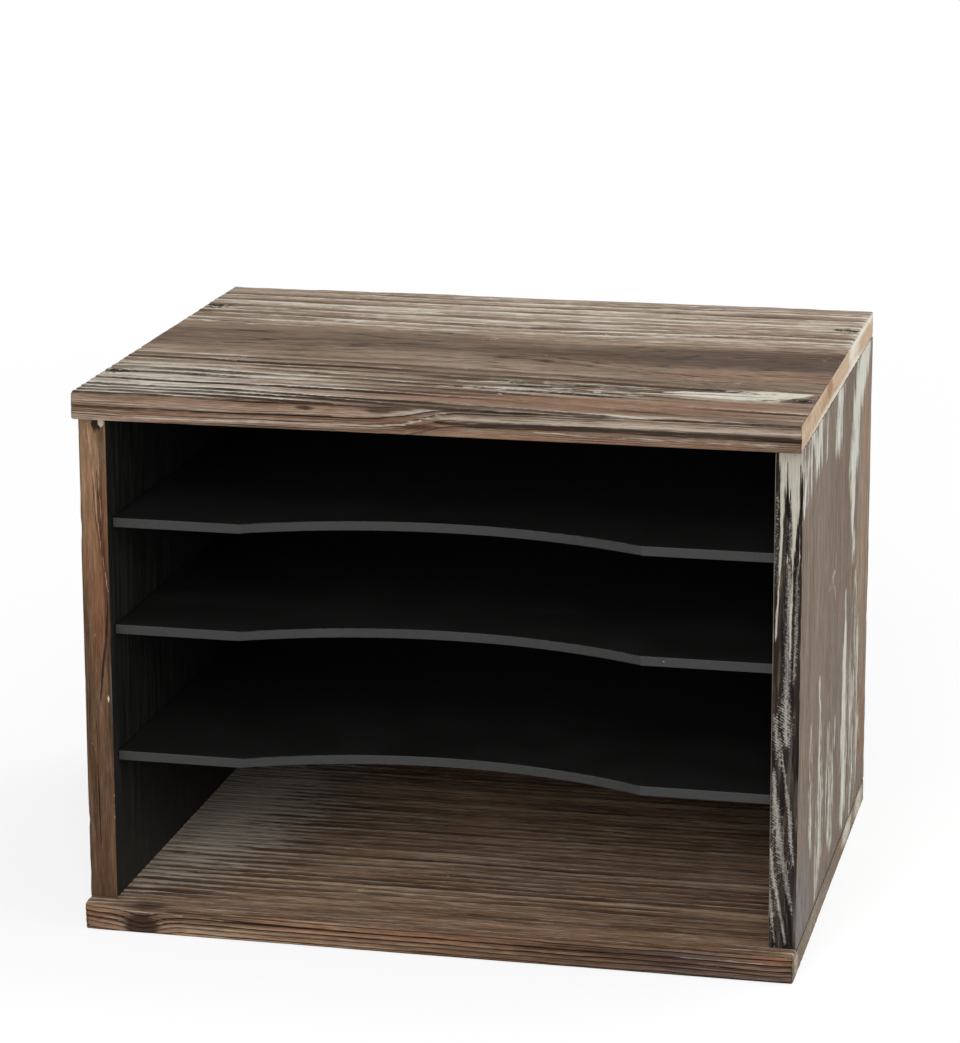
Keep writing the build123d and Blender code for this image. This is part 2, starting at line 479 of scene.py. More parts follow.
def ring_lines(tree, grain, rings, groove, lines, fine, deep):
    """Lines of the annual rings: char, deepened with painted shade in the valleys, where the soft wood
    starts, and a worn crest just before it.

    Returns how dark a point is, how near a crest, and how strong its ring is.
    """
    within = add(tree, "Math", {0: rings}, operation="FRACT")
    # Deep grooves get broader dark lines: more painted shade in their valleys
    narrow = add(tree, "MapRange", {0: groove, 1: 0.9, 2: 1.3, 3: 1.0, 4: deep})
    scaled = add(tree, "Math", {0: within, 1: narrow}, operation="MULTIPLY")
    line = add(tree, "ValToRGB", {0: scaled}, stops=[
        (0.0, 1.0), (0.1, 0.85), (0.2, 0.42), (0.34, 0.2), (0.52, 0.0), (0.92, 0.0), (0.96, 0.7), (1.0, 1.0)])
    crest = add(tree, "ValToRGB", {0: within}, stops=[
        (0.0, 0.0), (0.4, 0.0), (0.62, 0.25), (0.8, 1.0), (0.92, 0.9), (0.96, 0.0)])
    wavy = total(tree, 0.0, (rings, 3.0), (drawn(tree, grain, 60, 3), 1.2))
    thirds = add(tree, "Math", {0: wavy}, operation="FRACT")
    thin = add(tree, "ValToRGB", {0: thirds}, stops=[
        (0.0, 1.0), (0.16, 0.2), (0.3, 0.0), (0.85, 0.0), (1.0, 1.0)])
    patchy = add(tree, "MapRange", {0: drawn(tree, grain, 70, 6, 3, shift=5.0), 1: 0.4, 2: 0.6, 4: fine})
    strong = add(tree, "MapRange", {0: groove, 1: 0.12, 2: 0.85, 4: lines})
    line = add(tree, "Math", {0: line, 1: strong}, operation="MULTIPLY")
    crest = add(tree, "Math", {0: crest, 1: strong}, operation="MULTIPLY")
    return total(tree, line, (thin, patchy)), crest, strong


def body_colour(tree, grain, read, rings, crest, strong, browns, warm, spread):
    """Each ring's own brown, lighter on its crest as a painted highlight, broken by bands along the grain,
    with warm, straw, ash and hazy patches.
    """
    ring_tone = add(tree, "TexWhiteNoise", {"W": add(tree, "Math", {0: rings}, operation="FLOOR")},
                    noise_dimensions="1D")
    varied = total(tree, -1.52, (ring_tone, 0.54), (drawn(tree, grain, 110, 6, 4, shift=9.0), 1.4),
                   (drawn(tree, grain, 34, 1.6, 4, shift=3.0), 1.1))
    lively = add(tree, "MapRange", {0: strong, 3: 0.5 * spread, 4: 1.05 * spread})
    # The crests are painted lighter: a painted highlight on the ridges
    tone = total(tree, 0.5, (varied, lively), (read["tone"], 0.5), (crest, 0.16))
    stops = [(i / (len(browns) - 1), brown) for i, brown in enumerate(browns)]
    base = add(tree, "ValToRGB", {0: tone}, stops=stops)
    warmth = total(tree, read["warm"], (drawn(tree, grain, 60, 3.5, 3, shift=13.0), 2.0))
    base, _ = coat(tree, base, warm, warmth, 1.15, 1.75, 0.6)
    base, _ = coat(tree, base, STRAW, drawn(tree, grain, 24, 2.0, 3, shift=41.0), 0.56, 0.72, 0.3)
    base, _ = coat(tree, base, ASH, drawn(tree, grain, 40, 3, 3, shift=43.0), 0.55, 0.72, 0.35)
    hazy = total(tree, read["haze"], (drawn(tree, grain, 60, 3, 3, shift=53.0), 1.0))
    base, _ = coat(tree, base, GREY_HAZE, hazy, 0.6, 1.4, 0.8)
    return base


def saw_marks(tree, base, ragged, streaks):
    """Grey smears, and saw marks that cross the front edge at a slant, 1.2 mm apart, as the blade skipped."""
    saw, smear = (add(tree, "Attribute", attribute_name=kind, out="Fac") for kind in ("saw", "smear"))
    place = add(tree, "TexCoord", out="Object")
    slanted = add(tree, "Mapping", {"Vector": place, "Rotation": (0.0, math.radians(-32), 0.0),
                                    "Scale": (1 / MM,) * 3})
    teeth = add(tree, "TexWave", {"Vector": slanted, "Scale": 0.26, "Distortion": 5.0, "Detail": 3.0,
                                  "Detail Scale": 0.8}, out=1, wave_type="BANDS", bands_direction="Z")
    broken = add(tree, "TexNoise", {"Vector": place, "Scale": 1 / (1.3 * MM), "Detail": 3.0,
                                    "Roughness": 0.7})
    smeared = total(tree, -0.6, (smear, 1.0), (ragged, 0.9), (broken, 1.2))
    base, _ = coat(tree, base, GREY_SMEAR, smeared, 0.0, 0.9, 0.8)
    marked = total(tree, -1.4, (saw, 0.5), (smear, 0.35), (teeth, 0.35), (broken, 2.2), (streaks, 1.3))
    base, _ = coat(tree, base, SAW_MARK, marked, 0.75, 1.25, 0.62)
    return base


def torched_fir(name, grain, browns, wash, warm, char_and_shade, groove, lines=1.0, fine=0.5, crest_wash=0.4,
                deep=1.0, spread=1.0, pale_line_and_highlight="b8ad9e", saw=False):
    """Fir torched, wire-brushed and washed: sharp charred lines, deepened with painted shade, under worn
    ridges with painted highlights on their crests, and ragged pale streaks.

    lines and fine are the strengths of the rings' dark lines and of the thin ones between them. A deep
    below 1 broadens the lines of deep grooves. crest_wash is the wash that the crests hold, and spread
    is how far the tones differ.
    """
    material, tree = new_tree(name)
    read = {kind: add(tree, "Attribute", attribute_name=kind, out="Fac")
            for kind in ("rings", "groove", "worn", "torn", "pit", "tone", "warm", "wash", "haze", "char_and_shade",
                         "knot", "paint", "line", "pale_line_and_highlight", "split", "chip")}
    streaks = drawn(tree, grain, 34, 1.5, 5, 0.72, shift=21.0)
    threads = drawn(tree, grain, 9, 0.5, 4, 0.68, shift=17.0)
    splinters = drawn(tree, grain, 7, 0.7, 3, 0.7, shift=29.0)

    rings = total(tree, read["rings"], (drawn(tree, grain, 16, 1.1), 0.10))
    dark, crest, strong = ring_lines(tree, grain, rings, read["groove"], lines, fine, deep)
    base = body_colour(tree, grain, read, rings, crest, strong, browns, warm, spread)
    grey = add(tree, "MapRange", {0: threads, 1: 0.25, 2: 0.75, 3: 0.5, 4: 1.5})
    base = add(tree, "Mix", {0: 1.0, 6: base, 7: grey}, out=2, data_type="RGBA", blend_type="MULTIPLY")
    # The rings' dark lines: char, and painted shade in the valleys
    base, _ = coat(tree, base, groove, dark, 0.0, 1.0, 0.96)

    # Pale wash, caught on the crests and in ragged streaks
    open_wood = add(tree, "Math", {0: dark, 1: -0.85, 2: 1.0}, operation="MULTIPLY_ADD", use_clamp=True)
    level = total(tree, -1.3, (read["wash"], 1.0), (streaks, 1.9), (threads, 0.7), (crest, crest_wash))
    cover = add(tree, "MapRange", {0: level, 1: 0.42, 2: 0.75, 4: 0.9}, interpolation_type="SMOOTHSTEP")
    cover = add(tree, "Math", {0: cover, 1: open_wood}, operation="MULTIPLY")
    washed = add(tree, "Mix", {0: 0.42, 6: colour(wash), 7: grey}, out=2, data_type="RGBA",
                 blend_type="MULTIPLY")
    base = add(tree, "Mix", {0: cover, 6: base, 7: washed}, out=2, data_type="RGBA")

    # Marks: scorched places, knots, painted strokes, cracks and torn grain round the nails, with painted
    # shade in the nail pits, in the joint under the right side and by a chip on the left stile
    ragged = total(tree, -1.5, (streaks, 1.0), (threads, 0.8), (splinters, 1.2))
    # Char, and painted shade by the chip at the top of the left stile
    base, _ = coat(tree, base, char_and_shade, total(tree, read["char_and_shade"], (ragged, 0.8)), 0.35, 0.7, 0.92)
    base, _ = coat(tree, base, KNOT_BROWN, total(tree, read["knot"], (ragged, 0.4)), 0.15, 0.85, 0.9)
    if saw:
        base = saw_marks(tree, base, ragged, streaks)
    stroke = total(tree, read["paint"], (ragged, 1.7), (drawn(tree, grain, 45, 2.0, 3, 0.7, shift=61.0), 2.2))
    base, painted = coat(tree, base, washed, stroke, 0.95, 1.65, 0.95)
    frayed = total(tree, -1.3, (streaks, 1.0), (drawn(tree, grain, 26, 0.8, 3, shift=51.0), 1.0),
                   (splinters, 0.6))
    # Dark line strokes: cracks and charred lines, and painted shade in the joint under the right side
    base, lined = coat(tree, base, char_and_shade, total(tree, read["line"], (frayed, 1.2)), -0.1, 0.5, 0.9)
    # Pale lines: scratches and lips, and a painted highlight along the top's front arris
    base, _ = coat(tree, base, pale_line_and_highlight, total(tree, read["pale_line_and_highlight"], (frayed, 2.0)), 0.0, 0.5, 0.85)
    base, cracked = coat(tree, base, char_and_shade, total(tree, read["split"], (ragged, 0.8)), 0.0, 0.35, 0.95)
    base, _ = coat(tree, base, TORN_FIBRE, total(tree, read["torn"], (ragged, 1.6)), 0.3, 0.6, 0.9)
    scorched = total(tree, read["torn"], (drawn(tree, grain, 3, 0.8, 3, shift=31.0), 3.2))
    base, _ = coat(tree, base, char_and_shade, scorched, 1.7, 1.9, 0.95)
    base, chipped = coat(tree, base, FRESH_CHIP, total(tree, read["chip"], (ragged, 0.6)), 0.0, 0.2)
    rubbed = total(tree, -0.45, (read["worn"], 0.45), (drawn(tree, grain, 7, 2.4, 4, 0.7, shift=33.0), 1.0),
                   (threads, 0.35))
    base, rubbed = coat(tree, base, RUBBED_ARRIS, rubbed, 0.77, 0.83, 0.9)
    flecks = total(tree, 0.0, (splinters, 0.6), (drawn(tree, grain, 22, 9, 2, shift=47.0), 0.6))
    base, _ = coat(tree, base, PALE_FLECK, flecks, 0.79, 0.82, 0.7)
    # The nail pits are painted near black: painted shade round the sunk heads
    base, _ = coat(tree, base, NAIL_PIT_SHADE, read["pit"], 0.3, 0.8)

    # Fine relief, and a roughness that changes along the streaks
    depth = total(tree, 0.0, (dark, -0.35), (threads, 0.22), (streaks, 0.10), (cover, 0.04), (painted, 0.06),
                  (lined, -0.2), (cracked, -0.5), (chipped, -0.15), (rubbed, -0.12))
    rough = add(tree, "MapRange", {0: streaks, 1: 0.3, 2: 0.7, 3: 0.73, 4: 0.97})
    bump = add(tree, "Bump", {"Strength": 1.0, "Distance": 1.0 * MM, "Height": depth})
    surface = add(tree, "BsdfPrincipled", {"Base Color": base, "Roughness": rough, "Normal": bump,
                                           "IOR": 1.45, "Specular IOR Level": 0.15})
    add(tree, "OutputMaterial", {"Surface": surface})
    return material


def sawn_end(name, dark, base, light, wash):
    """End grain of a torched board: a tan sawn face with faint ring arcs, open pores and scraps of wash."""
    material, tree = new_tree(name)
    place = add(tree, "TexCoord", out="Object")
    read = {kind: add(tree, "Attribute", attribute_name=kind, out="Fac")
            for kind in ("rings", "wash", "warm", "worn", "line")}
    pores = add(tree, "TexNoise", {"Vector": place, "Scale": 1 / (0.8 * MM), "Detail": 3.0, "Roughness": 0.7})
    broad = drawn(tree, ALONG_Y, 26, 5, 4, 0.65)
    tone = total(tree, 0.0, (pores, 0.5), (broad, 1.0))
    face = add(tree, "ValToRGB", {0: tone}, stops=[(0.5, dark), (0.68, base), (0.84, base), (1.0, light)])
    arcs = add(tree, "Math", {0: read["rings"]}, operation="FRACT")
    shade = add(tree, "ValToRGB", {0: arcs}, stops=[(0.0, 0.55), (0.12, 1.0), (0.8, 1.0), (1.0, 0.6)])
    face = add(tree, "Mix", {0: 0.25, 6: face, 7: shade}, out=2, data_type="RGBA", blend_type="MULTIPLY")
    face, _ = coat(tree, face, "966a4e", total(tree, read["warm"], (broad, 1.0)), 0.75, 1.3, 0.8)
    patch = add(tree, "TexNoise", {"Vector": place, "Scale": 1 / (4 * MM), "Detail": 5.0, "Roughness": 0.75})
    slanted = add(tree, "Mapping", {"Vector": place, "Rotation": (math.radians(35), 0.0, 0.0),
                                    "Scale": (1 / MM,) * 3})
    teeth = add(tree, "TexWave", {"Vector": slanted, "Scale": 0.2, "Distortion": 1.5, "Detail": 2.0}, out=1,
                wave_type="BANDS", bands_direction="Y")
    scraps = total(tree, -0.25, (read["wash"], 1.0), (patch, 1.0), (teeth, 0.35))
    face, _ = coat(tree, face, wash, scraps, 0.75, 0.95)
    rubbed = total(tree, 0.0, (read["worn"], 0.5), (patch, 1.0))
    face, _ = coat(tree, face, "dbcfb8", rubbed, 0.92, 1.04, 0.85)
    # Line strokes darken the end: painted shade in the joint under the right side
    face, _ = coat(tree, face, "2a2019", total(tree, read["line"], (pores, 0.4)), 0.2, 0.7, 0.85)
    bump = add(tree, "Bump", {"Strength": 0.8, "Distance": 0.3 * MM, "Height": tone})
    surface = add(tree, "BsdfPrincipled", {"Base Color": face, "Roughness": 0.85, "Normal": bump, "IOR": 1.45,
                                           "Specular IOR Level": 0.2})
    add(tree, "OutputMaterial", {"Surface": surface})
    return material


def black_stained_fir(name, grain):
    """Fir under thin black stain: near black, with the grain faintly lighter and brown at worn arrises."""
    material, tree = new_tree(name)
    fibre = drawn(tree, grain, 45, 1.6, 4, 0.65)
    stain = add(tree, "ValToRGB", {0: fibre}, stops=[(0.35, "10100f"), (0.55, "1b1a18"), (0.72, "2b2925")])
    worn = add(tree, "Attribute", attribute_name="worn", out="Fac")
    stain, _ = coat(tree, stain, "5b4636", total(tree, 0.0, (worn, 0.6), (fibre, 1.0)), 1.08, 1.25)
    rough = add(tree, "MapRange", {0: fibre, 1: 0.3, 2: 0.7, 3: 0.45, 4: 0.65})
    bump = add(tree, "Bump", {"Strength": 0.8, "Distance": 0.2 * MM, "Height": fibre})
    surface = add(tree, "BsdfPrincipled", {"Base Color": stain, "Roughness": rough, "Normal": bump,
                                           "IOR": 1.45})
    add(tree, "OutputMaterial", {"Surface": surface})
    return material


def black_painted_board(name, face_dark, face_light, edge_dark, edge_light):
    """Satin black paint on thin fibreboard: a faint roller texture, scuffs, and chips on fuzzy cut edges."""
    material, tree = new_tree(name)
    place = add(tree, "TexCoord", out="Object")
    upright = add(tree, "SeparateXYZ", {0: add(tree, "TexCoord", out="Normal")}, out="Z")
    flat = add(tree, "Math", {0: upright}, operation="ABSOLUTE")
    cloud = add(tree, "TexNoise", {"Vector": place, "Scale": 1 / (40 * MM), "Detail": 4.0, "Roughness": 0.6})
    roller = add(tree, "TexNoise", {"Vector": place, "Scale": 1 / (1.4 * MM), "Detail": 2.0})
    paint = add(tree, "ValToRGB", {0: cloud}, stops=[(0.35, face_dark), (0.65, face_light)])
    paint, _ = coat(tree, paint, "3a3935", drawn(tree, ALONG_Y, 60, 1.2), 0.66, 0.78, 0.35)
    edge = add(tree, "MapRange", {0: flat, 1: 0.9, 2: 0.6})
    fuzz = add(tree, "TexNoise", {"Vector": place, "Scale": 1 / (2.2 * MM), "Detail": 4.0, "Roughness": 0.7})
    fuzzy = add(tree, "ValToRGB", {0: fuzz}, stops=[(0.3, edge_dark), (0.7, edge_light)])
    paint = add(tree, "Mix", {0: edge, 6: paint, 7: fuzzy}, out=2, data_type="RGBA")
    chip = add(tree, "TexNoise", {"Vector": place, "Scale": 1 / (6 * MM), "Detail": 3.0, "Roughness": 0.6})
    paint, _ = coat(tree, paint, "a89c8a", total(tree, -0.3, (chip, 1.0), (edge, 0.3)), 0.765, 0.785)
    satin = add(tree, "MapRange", {0: cloud, 1: 0.3, 2: 0.7, 3: 0.4, 4: 0.48})
    rough = total(tree, satin, (edge, 0.2))
    bump = add(tree, "Bump", {"Strength": 0.5, "Distance": 0.12 * MM, "Height": roller})
    surface = add(tree, "BsdfPrincipled", {"Base Color": paint, "Roughness": rough, "Normal": bump,
                                           "IOR": 1.5})
    add(tree, "OutputMaterial", {"Surface": surface})
    return material


def black_enamel(name):
    """Smooth black enamel on a steel pin, rubbed a little on its end."""
    material, tree = new_tree(name)
    place = add(tree, "TexCoord", out="Object")
    rub = add(tree, "TexNoise", {"Vector": place, "Scale": 1 / (2 * MM), "Detail": 3.0})
    paint = add(tree, "ValToRGB", {0: rub}, stops=[(0.4, "151515"), (0.68, "1d1d1d"), (0.78, "5a5a58")])
    rough = add(tree, "MapRange", {0: rub, 1: 0.3, 2: 0.7, 3: 0.28, 4: 0.45})
    surface = add(tree, "BsdfPrincipled", {"Base Color": paint, "Roughness": rough, "IOR": 1.5})
    add(tree, "OutputMaterial", {"Surface": surface})
    return material


def dull_steel(name):
    """Bright steel gone dull and brown in patches: a blurred grey gleam on each nail head."""
    material, tree = new_tree(name)
    place = add(tree, "TexCoord", out="Object")
    patina = add(tree, "TexNoise", {"Vector": place, "Scale": 1 / (1.1 * MM), "Detail": 4.0,
                                    "Roughness": 0.65})
    metal = add(tree, "ValToRGB", {0: patina}, stops=[(0.35, "4a4037"), (0.5, "75706a"), (0.7, "8f8b86")])
    rough = add(tree, "MapRange", {0: patina, 1: 0.3, 2: 0.7, 3: 0.6, 4: 0.35})
    surface = add(tree, "BsdfPrincipled", {"Base Color": metal, "Metallic": 0.9, "Roughness": rough})
    add(tree, "OutputMaterial", {"Surface": surface})
    return material


# The four boards

# Room round the back panel in its rabbet, and how far the rabbet's step reaches past a board's faces
PANEL_ROOM = 0.5
BEYOND = 1.0
rabbet_front = panel_low[1]
rabbet_x = panel_high[0] + PANEL_ROOM

# Each rabbet has its lowest corner, its highest one and the axis that it runs along
top_rabbet = (np.array([-rabbet_x, rabbet_front, top_low[2] - BEYOND]),
              np.array([rabbet_x, top_high[1] + BEYOND, panel_high[2] + PANEL_ROOM]), 0)
foot_rabbet = (np.array([-rabbet_x, rabbet_front, panel_low[2] - PANEL_ROOM]),
               np.array([rabbet_x, foot_high[1] + BEYOND, foot_high[2] + BEYOND]), 0)
left_rabbet = (np.array([-rabbet_x, rabbet_front, left_low[2] - BEYOND]), left_high + BEYOND, 2)
right_rabbet = (np.array([right_low[0] - BEYOND, rabbet_front, right_low[2] - BEYOND]),
                np.array([rabbet_x, right_high[1] + BEYOND, right_high[2] + BEYOND]), 2)

top_board = Board(
    name="top_board", grain=0, through=2, pith=(8, TOP + 62), growth=[(400, 7.0)], relief=1.3, seed=11,
    calm=((2, -1),), nail_face=TOP, lean=((1, -180, 1, -0.028),), front_cuts=2, front_spacing=3.2,
    # The line climbs beside the small knot, so that the right half shows older rings
    front_line=((-180, 271.2), (-155, 270.5), (-110, 270.8), (-70, 271.4), (-40, 271.8), (-25, 272.3),
                (-12, 273.8), (-3, 276.2), (4, 278.4), (14, 279.9), (45, 280.2), (90, 280.7),
                (146, 280.3), (180, 279.9)),
    spots=[
        # Smooth dark middle band, and the worn pale strip along the back edge
        ("groove", (-180, 8, TOP), (200, 27, 9), -1.3),
        ("groove", (180, -2, TOP), (200, 25, 9), -1.3),
        ("tone", (-180, 8, TOP), (200, 27, 9), -0.6),
        ("tone", (180, -2, TOP), (200, 25, 9), -1.15),
        ("haze", (160, -2, TOP), (90, 20, 9), 0.2),
        ("wash", (0, 3, TOP), (EVERYWHERE, 27, 9), -0.6),
        ("groove", (0, 134, TOP), (EVERYWHERE, 15, 9), -0.6),
        ("tone", (0, 136, TOP), (EVERYWHERE, 15, 9), 0.5),
        ("wash", (0, 136, TOP), (EVERYWHERE, 15, 9), 0.35),
        ("groove", (130, -34, TOP), (150, 12, 9), -0.4),
        ("warm", (130, -36, TOP), (90, 14, 9), 0.15),
        # Whitish ridges on the left, and tan ones behind the band
        ("wash", (-150, -128, TOP), (90, 16, 9), 0.3),
        ("wash", (-170, -95, TOP), (110, 45, 9), 0.5),
        ("tone", (-170, -95, TOP), (110, 45, 9), 0.55),
        ("wash", (0, 44, TOP), (EVERYWHERE, 18, 9), 0.3),
        ("wash", (0, 85, TOP), (EVERYWHERE, 35, 9), 0.12),
        ("tone", (0, 85, TOP), (EVERYWHERE, 40, 9), 0.2),
        ("groove", (0, 80, TOP), (EVERYWHERE, 40, 9), 0.3),
        # The ridges run out over the front arris on the right
        ("rings", (210, -150, TOP), (170, 160, 1.2), -2.6),
        # Reddish ridges at the front right, and grey ones under them
        ("warm", (80, -118, TOP), (120, 18, 9), 0.85),
        ("warm", (150, -40, TOP), (60, 12, 9), 0.45),
        ("tone", (60, -100, TOP), (110, 25, 9), -0.2),
        ("groove", (90, -122, TOP), (130, 24, 9), -0.32),
        ("groove", (90, -137, TOP), (150, 7, 9), -0.3),
        # The front edge: brown and smooth on the left, ridged with a grey lip on the right
        ("groove", (-110, FRONT, TOP - 8), (110, 1.4, 9), -0.45),
        ("groove", (120, FRONT, TOP - 8), (110, 1.4, 9), -0.2),
        ("wash", (0, FRONT, TOP - 8), (EVERYWHERE, 1.4, 9), -0.4),
        ("tone", (-130, FRONT, TOP - 7), (110, 3, 12), 0.55),
        ("tone", (80, FRONT, TOP - 7), (140, 3, 12), 0.25),
        ("warm", (-110, FRONT, TOP - 6), (110, 3, 8), 0.75),
        ("warm", (60, FRONT, TOP - 11), (160, 3, 4), 0.4),
        ("tone", (95, FRONT, TOP - 2.6), (86, 3, 2.4), 0.6),
        ("tone", (110, FRONT, TOP - 10), (120, 3, 4), -0.3),
        ("warm", (60, FRONT, TOP - 13), (120, 3, 1.6), 0.5),
        # Small knot under the front arris, and the reddish swirl beside it
        ("knot", (-61, FRONT, TOP - 2.6), (5.0, 3, 1.3), 0.9),
        ("knot", (-24, FRONT, TOP - 2.6), (9, 3, 1.6), 0.75),
        ("knot", (-12, FRONT, TOP - 1.4), (8, 3, 1.0), 0.6),
        ("warm", (-8, FRONT, TOP - 9.0), (24, 3, 3.4), 0.95),
        ("tone", (-8, FRONT, TOP - 9.0), (24, 3, 3.4), -0.5),
        ("knot", (-6, FRONT, TOP - 9.6), (14, 3, 1.6), 0.7),
        # Reddish scorch on the right end
        ("warm", (RIGHT, -50, TOP - 7), (3, 34, 6), 0.5),
        ("wash", (RIGHT, 60, TOP - 7), (3, 22, 9), 0.45),
        ("wash", (RIGHT, -10, TOP - 12.5), (3, 120, 2.6), 0.6),
        ("wash", (RIGHT, 100, TOP - 1.5), (3, 40, 2.2), 0.55),
    ],
    strokes=[
        # Cream patch that tapers towards the front right nail
        ("paint", 1.5, on(2, TOP, (96, -87, 1.5), (120, -85, 6), (140, -84, 10), (156, -82, 11),
                          (168, -79, 7), (175, -76, 2))),
        ("paint", 0.1, on(2, TOP, (-10, -92, 2), (40, -90, 4), (90, -89, 5))),
        ("paint", 0.05, on(2, TOP, (0, -78, 2), (50, -76, 4), (100, -75, 3))),
        ("line", 0.8, on(2, TOP, (30, -83, 0.8), (90, -84, 1.1), (130, -85, 1.1), (160, -86, 0.8))),
        ("line", 0.6, on(2, TOP, (60, -78, 0.6), (110, -78.5, 0.9), (150, -79, 0.6))),
        # Front edge, left half: a painted highlight along the arris, and a pale line low down that climbs
        # past the knot
        ("pale_line_and_highlight", 0.8, on(1, FRONT, (-178, TOP - 0.2, 0.5), (-100, TOP - 0.2, 0.6), (-40, TOP - 0.3, 0.4))),
        ("line", 0.5, on(1, FRONT, (-180, TOP - 6.8, 0.6), (-155, TOP - 7.5, 0.8), (-110, TOP - 7.2, 0.8),
                         (-70, TOP - 6.7, 0.6), (-48, TOP - 6.3, 0.4))),
        ("pale_line_and_highlight", 0.6, on(1, FRONT, (-155, TOP - 11.4, 0.5), (-110, TOP - 11.1, 0.6),
                          (-55, TOP - 10.3, 0.7), (-25, TOP - 10.0, 0.7), (-12, TOP - 8.5, 0.8),
                          (-3, TOP - 6, 0.9), (4, TOP - 3.5, 0.8), (9, TOP - 2, 0.4))),
        # and the right half: a dark line at the arris, a bright lip and a dark band that widens
        ("line", 0.55, on(1, FRONT, (-2, TOP - 0.5, 0.4), (9, TOP - 0.6, 0.8), (45, TOP - 0.7, 0.9),
                          (100, TOP - 0.6, 0.7), (180, TOP - 0.8, 0.6))),
        ("pale_line_and_highlight", 1.0, on(1, FRONT, (2, TOP - 4.4, 0.4), (9, TOP - 4.7, 0.7), (45, TOP - 5.0, 0.8),
                          (100, TOP - 4.8, 0.8), (180, TOP - 5.0, 0.7))),
        ("line", 0.75, on(1, FRONT, (4, TOP - 7.0, 0.9), (20, TOP - 7.4, 1.5), (45, TOP - 7.0, 1.4),
                          (90, TOP - 6.8, 1.5), (146, TOP - 7.3, 1.6), (180, TOP - 7.8, 1.7))),
        ("pale_line_and_highlight", 0.25, on(1, FRONT, (50, TOP - 9.8, 0.5), (100, TOP - 10.0, 0.7), (170, TOP - 10.6, 0.6))),
        ("chip", 1.0, on(2, TOP, (-111.5, -137, 0.7), (-109.5, -137, 0.5))),
    ],
)
foot_board = Board(
    name="bottom_board", grain=0, through=2, pith=(-178, 82), growth=[(92, 2.7), (400, 5.8)], relief=1.0,
    seed=23, calm=((2, -1),), nail_face=FOOT, wander=3.5, front_spacing=2.6,
    front_line=((-180, 12.4), (-160, 12.0), (-147, 11.6), (-130, 12.6), (-60, 12.2), (0, 12.6), (60, 12.0),
                (120, 12.4), (180, 11.8)),
    spots=[
        # The knot in the front edge, with the rings sagging round it
        ("knot", (-150, FRONT, 3.6), (9.5, 4, 6.4), 1.1),
        ("rings", (-150, FRONT, 4), (10, 30, 8), -1.3),
        ("knot", (-147, FRONT, 12.4), (18, 4, 2.4), 0.6),
        ("knot", (-146, FRONT + 5, DECK), (15, 4, 3), 0.6),
        ("knot", (-118, FRONT, DECK - 1), (16, 3, 1.6), 0.45),
        ("warm", (-149, FRONT, 10.5), (12, 4, 2.5), 0.8),
        # Brighter brown along the upper half, greyer on the deck
        ("warm", (20, FRONT, 10), (44, 5, 2.5), 0.4),
        ("warm", (165, FRONT, 11), (22, 5, 2), 0.3),
        ("warm", (-176, FRONT, 8), (8, 5, 5), 0.9),
        ("warm", (-60, FRONT, 8), (60, 5, 4), 0.4),
        ("haze", (130, FRONT, 5), (80, 5, 9), 0.3),
        ("tone", (-100, FRONT, 7), (140, 3, 12), 0.6),
        ("wash", (0, FRONT, 7), (EVERYWHERE, 1.4, 9), -0.5),
        ("tone", (0, FRONT, 13.2), (EVERYWHERE, 2, 1.2), -0.5),
        ("groove", (0, FRONT, 13.8), (EVERYWHERE, 2, 1.3), -0.6),
        ("groove", (0, FRONT, 6), (EVERYWHERE, 2, 6.5), 0.35),
        ("tone", (150, FRONT, 7), (80, 3, 12), -0.2),
        ("tone", (0, 0, DECK), (EVERYWHERE, 132, 3), 0.3),
        ("wash", (-180, 20, DECK), (90, 150, 3), 0.75),
        ("haze", (-180, 20, DECK), (110, 150, 3), 0.4),
        ("tone", (-180, 20, DECK), (110, 150, 3), -0.35),
        ("groove", (-180, 20, DECK), (110, 150, 3), 0.25),
        ("groove", (0, 10, DECK), (EVERYWHERE, 140, 3), 0.6),
        ("wash", (-90, FRONT + 5, DECK), (90, 4, 3), 0.2),
        # Rounded and dented corners
        ("dent", (-180, FRONT, 7), (3.5, 3.5, 10), 1.3),
        ("dent", (180, FRONT, 7), (3.0, 3.0, 10), 1.0),
        ("dent", (-180, FRONT, 0), (6, 9, 3), 1.0),
        # Wash left on the right end
        ("wash", (RIGHT, -132, 7), (4, 8, 9), 0.35),
        ("wash", (RIGHT, 66, 8), (4, 24, 7), 0.6),
        ("wash", (RIGHT, 118, 7), (4, 22, 9), 0.55),
        ("wash", (RIGHT, -60, 7), (4, 60, 9), 0.25),
        ("warm", (RIGHT, 20, 7), (4, 40, 9), 0.3),
    ],
    strokes=[
        ("pale_line_and_highlight", 0.3, on(1, FRONT, (100, 9.9, 0.3), (130, 9.7, 0.6), (165, 9.4, 0.3))),
        ("pale_line_and_highlight", 0.35, on(1, FRONT, (-164, 11.6, 0.4), (-140, 11.4, 0.6), (-128, 11.0, 0.4))),
        ("pale_line_and_highlight", 0.3, on(1, FRONT, (-122, 10.2, 0.4), (-108, 9.8, 0.5))),
        # Painted shade in the joint under the right side
        ("line", 1.0, on(0, RIGHT, (-131, DECK - 0.8, 1.0), (60, DECK - 0.8, 1.0), (142, DECK - 0.8, 0.7))),
        ("line", 0.6, on(1, FRONT, (-116, 10.9, 0.3), (-70, 9.4, 0.6), (0, 9.2, 0.5), (60, 8.9, 0.3))),
    ],
)
